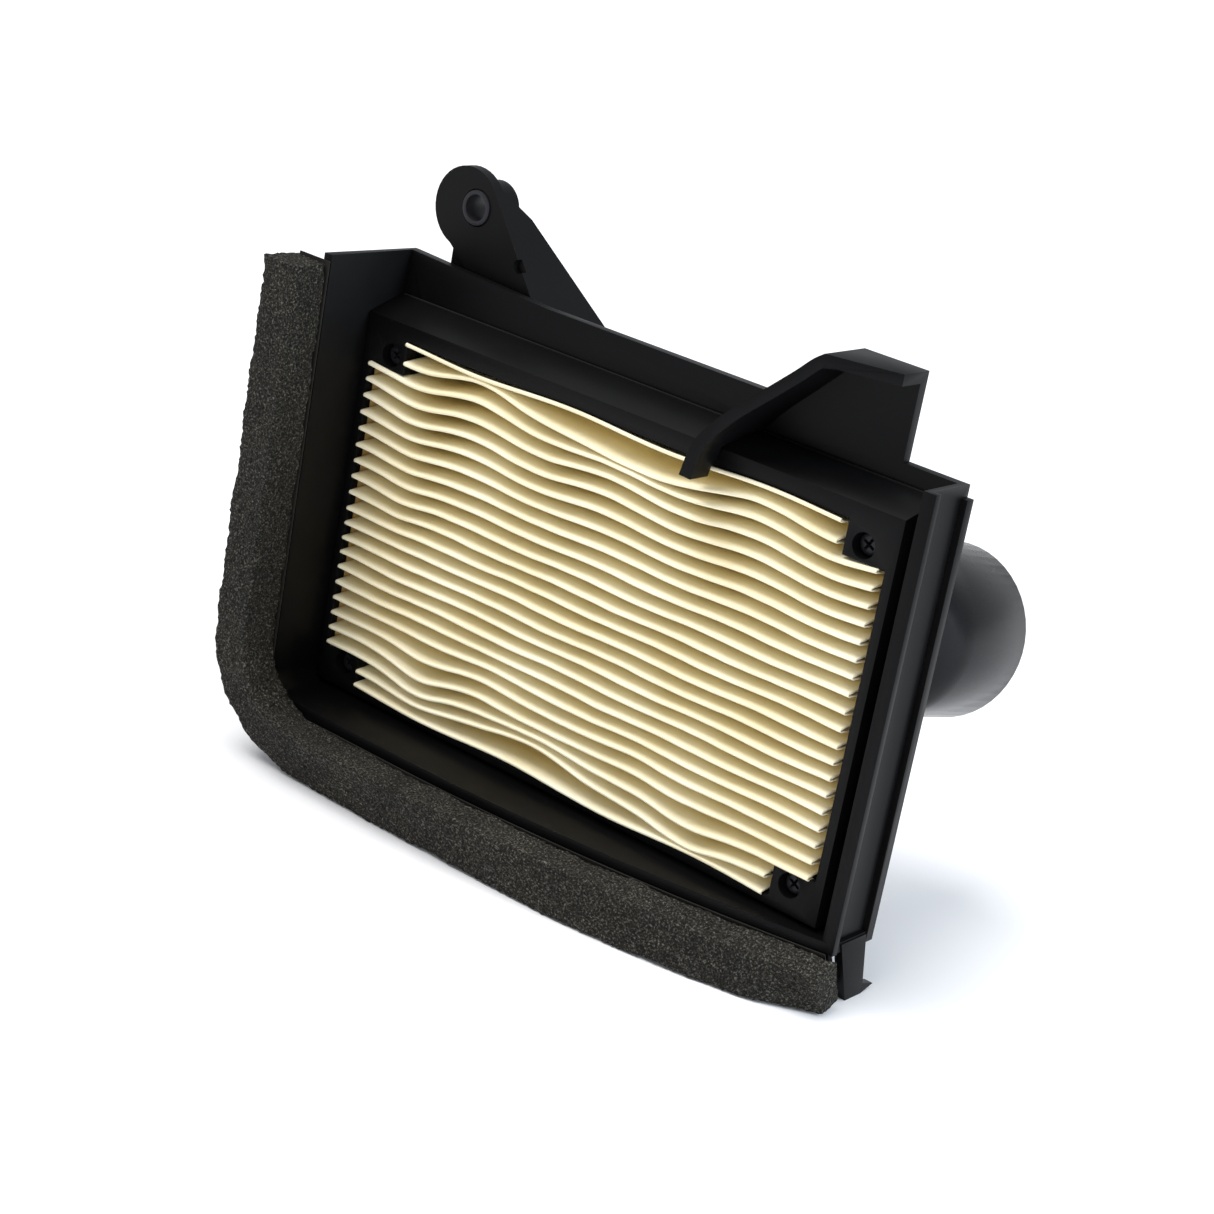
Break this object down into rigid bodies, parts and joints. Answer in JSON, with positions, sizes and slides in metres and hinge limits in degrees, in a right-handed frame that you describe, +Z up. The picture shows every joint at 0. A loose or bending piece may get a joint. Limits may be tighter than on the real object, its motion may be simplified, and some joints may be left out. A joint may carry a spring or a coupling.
{
  "type": "motorcycle cassette air filter",
  "caption": "Cassette air filter with a pleated paper element in a plastic tray, foam edge seal, air vane, mounting ear and rear outlet duct.",
  "frame": {"origin": "middle of the footprint, on the lowest point of the upright cassette (bounding box bottom centre)", "axes": "+X along the tray's long side, to the right when the pleats face the viewer; -Y out of the open pleated side, +Y towards the engine; +Z up"},
  "size_m": [0.176, 0.104, 0.1485],
  "materials": {
    "tray_plastic": "near-black moulded plastic, matte to satin",
    "duct_plastic": "near-black moulded plastic, smoother and glossier than the tray",
    "gasket_rubber": "matte black rubber",
    "filter_paper": "cream resin-treated filter paper, matte",
    "pleat_glue": "amber hot-melt bead",
    "screw_steel": "dull zinc-plated steel",
    "tape": "dark double-sided adhesive tape",
    "seal_foam": "charcoal open-cell foam, speckled"
  },
  "bodies": {
    "root": {"front_tray": "tray_plastic", "element_frame": "tray_plastic", "element_gasket": "gasket_rubber", "pleated_media": "filter_paper", "pleat_glue_left": "pleat_glue", "pleat_glue_right": "pleat_glue", "screw_top_left": "screw_steel", "screw_top_right": "screw_steel", "screw_bottom_left": "screw_steel", "screw_bottom_right": "screw_steel", "shell_gasket": "gasket_rubber", "rear_shell": "tray_plastic", "ear_bush": "screw_steel", "duct_seal": "gasket_rubber", "outlet_duct": "duct_plastic", "foam_tape": "tape", "foam_seal": "seal_foam"}
  },
  "joints": []
}
